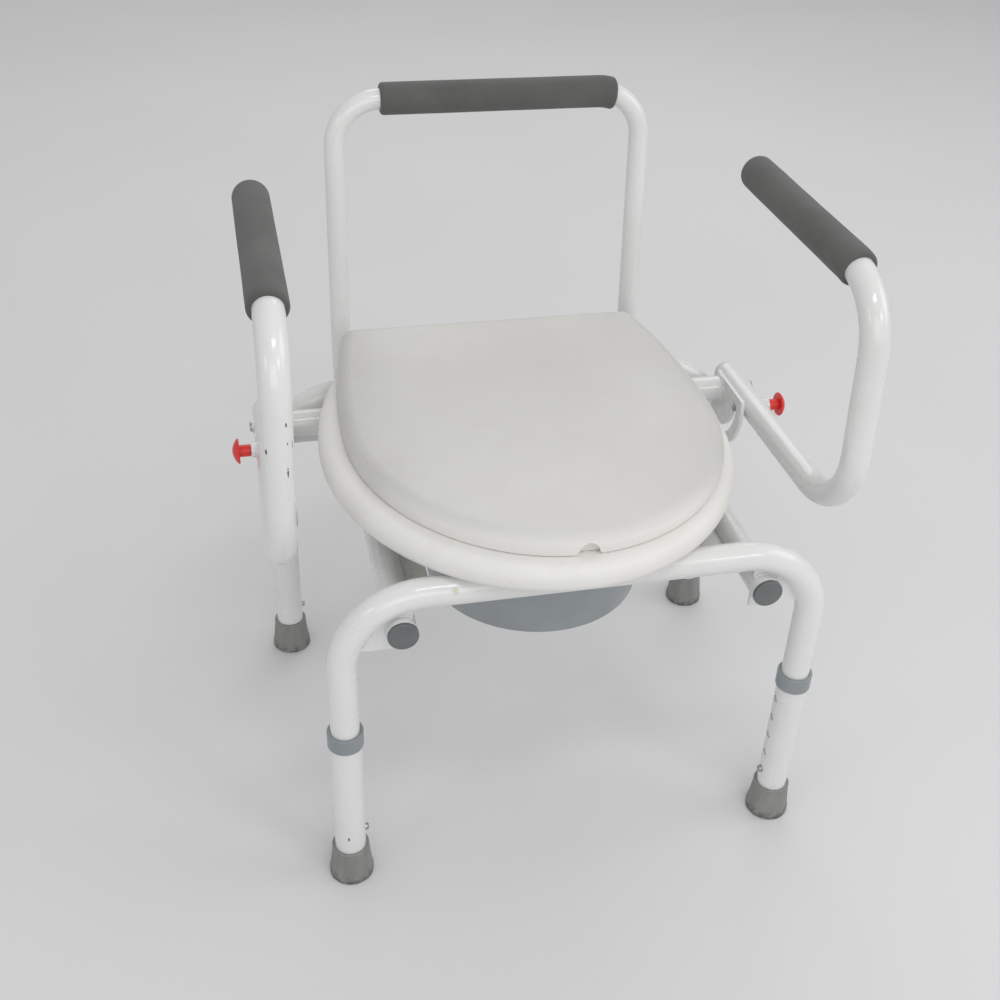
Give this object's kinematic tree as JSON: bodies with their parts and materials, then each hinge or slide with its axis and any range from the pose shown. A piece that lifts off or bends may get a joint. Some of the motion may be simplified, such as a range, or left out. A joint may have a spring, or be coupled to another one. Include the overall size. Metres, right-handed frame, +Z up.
{
  "type": "commode chair",
  "caption": "Steel tube commode chair with height-adjustable legs, drop-down padded arms, a hinged seat and lid over a rear-sliding pail, and a raised back bar with a foam grip.",
  "frame": {"origin": "on the floor, under the centre of the overall footprint at the lowest leg setting, to within 4 mm", "axes": "+Z up, +Y from the front edge of the seat towards the backrest, +X to the right of someone facing the chair from the front, which is the sitter's left"},
  "size_m": [0.6132, 0.5317, 0.6587],
  "materials": {
    "frame_paint": "glossy white powder coat, chipped to bare steel in places",
    "plated_steel": "zinc plated, satin",
    "foam_grip": "dark grey closed-cell foam, matte with a fine skin",
    "foot_rubber": "warm grey rubber, matte",
    "collar_plastic": "blue-grey moulded plastic",
    "cap_plastic": "dark grey moulded plastic",
    "knob_red": "red moulded plastic, semi-gloss",
    "seat_plastic": "warm off-white moulded plastic, fine matte texture",
    "pail_plastic": "blue-grey moulded plastic, semi-gloss",
    "bumper_rubber": "off-white soft rubber",
    "acetal_bush": "white moulded bush"
  },
  "bodies": {
    "frame": {"front_frame": "frame_paint", "rear_frame": "frame_paint", "front_gussets": "frame_paint", "rear_gussets": "frame_paint", "side_rail_right": "frame_paint", "side_rail_left": "frame_paint", "rail_end_caps": "cap_plastic", "rail_rear_bushes": "acetal_bush", "pivot_cross_tube": "frame_paint", "latch_plate_right": "frame_paint", "latch_plate_left": "frame_paint", "pivot_bolts": "plated_steel", "pivot_nuts": "plated_steel", "pivot_washers": "plated_steel", "backrest_tube": "frame_paint", "backrest_grip": "foam_grip", "backrest_buttons": "plated_steel", "hinge_brackets": "frame_paint", "hinge_pins": "plated_steel", "pail_guides": "acetal_bush", "guide_screws": "plated_steel", "snap_button_fl": "plated_steel", "snap_button_fr": "plated_steel", "snap_button_rl": "plated_steel", "snap_button_rr": "plated_steel"},
    "seat": {"seat_ring": "seat_plastic", "seat_bumpers": "bumper_rubber"},
    "lid": {"lid": "seat_plastic", "lid_bumpers": "bumper_rubber"},
    "pail": {"pail": "pail_plastic"},
    "leg_fl": {"leg_sleeve_fl": "frame_paint", "leg_collar_fl": "collar_plastic", "foot_fl": "foot_rubber"},
    "leg_fr": {"leg_sleeve_fr": "frame_paint", "leg_collar_fr": "collar_plastic", "foot_fr": "foot_rubber"},
    "leg_rl": {"leg_sleeve_rl": "frame_paint", "leg_collar_rl": "collar_plastic", "foot_rl": "foot_rubber"},
    "leg_rr": {"leg_sleeve_rr": "frame_paint", "leg_collar_rr": "collar_plastic", "foot_rr": "foot_rubber"},
    "arm_right": {"arm_tube_right": "frame_paint", "arm_grip_right": "foam_grip", "arm_end_plug_right": "acetal_bush", "pivot_bush_right": "acetal_bush", "plunger_barrel_right": "frame_paint"},
    "plunger_right": {"knob_right": "knob_red", "plunger_pin_right": "plated_steel", "plunger_spring_right": "plated_steel"},
    "arm_left": {"arm_tube_left": "frame_paint", "arm_grip_left": "foam_grip", "arm_end_plug_left": "acetal_bush", "pivot_bush_left": "acetal_bush", "plunger_barrel_left": "frame_paint"},
    "plunger_left": {"knob_left": "knob_red", "plunger_pin_left": "plated_steel", "plunger_spring_left": "plated_steel"}
  },
  "joints": [
    {"name": "leg_fl_height", "type": "slide", "parent": "frame", "child": "leg_fl", "axis": [0, 0, -1], "range_m": [0, 0.1016], "deforming": ["snap_button_fl"]},
    {"name": "leg_fr_height", "type": "slide", "parent": "frame", "child": "leg_fr", "axis": [0, 0, -1], "range_m": [0, 0.1016], "deforming": ["snap_button_fr"]},
    {"name": "leg_rl_height", "type": "slide", "parent": "frame", "child": "leg_rl", "axis": [0, 0, -1], "range_m": [0, 0.1016], "deforming": ["snap_button_rl"]},
    {"name": "leg_rr_height", "type": "slide", "parent": "frame", "child": "leg_rr", "axis": [0, 0, -1], "range_m": [0, 0.1016], "deforming": ["snap_button_rr"]},
    {"name": "arm_right_drop", "type": "hinge", "parent": "frame", "child": "arm_right", "pos_m": [0.268, 0.101, 0.342], "axis": [1, 0, 0], "range_deg": [0, 90]},
    {"name": "plunger_right_pull", "type": "slide", "parent": "arm_right", "child": "plunger_right", "axis": [1, 0, 0], "range_m": [0, 0.007], "stiffness_N_per_m": 900, "springref_m": -0.006, "deforming": ["plunger_spring_right"]},
    {"name": "arm_left_drop", "type": "hinge", "parent": "frame", "child": "arm_left", "pos_m": [-0.268, 0.101, 0.342], "axis": [1, 0, 0], "range_deg": [0, 90]},
    {"name": "plunger_left_pull", "type": "slide", "parent": "arm_left", "child": "plunger_left", "axis": [-1, 0, 0], "range_m": [0, 0.007], "stiffness_N_per_m": 900, "springref_m": -0.006, "deforming": ["plunger_spring_left"]},
    {"name": "seat_lift", "type": "hinge", "parent": "frame", "child": "seat", "pos_m": [-0.011, 0.17, 0.381], "axis": [-1, 0, 0], "range_deg": [0, 94]},
    {"name": "lid_lift", "type": "hinge", "parent": "seat", "child": "lid", "pos_m": [-0.011, 0.17, 0.381], "axis": [1, 0, 0], "range_deg": [-94, 0]},
    {"name": "pail_slide", "type": "slide", "parent": "frame", "child": "pail", "axis": [0, 1, 0], "range_m": [0, 0.3]}
  ]
}
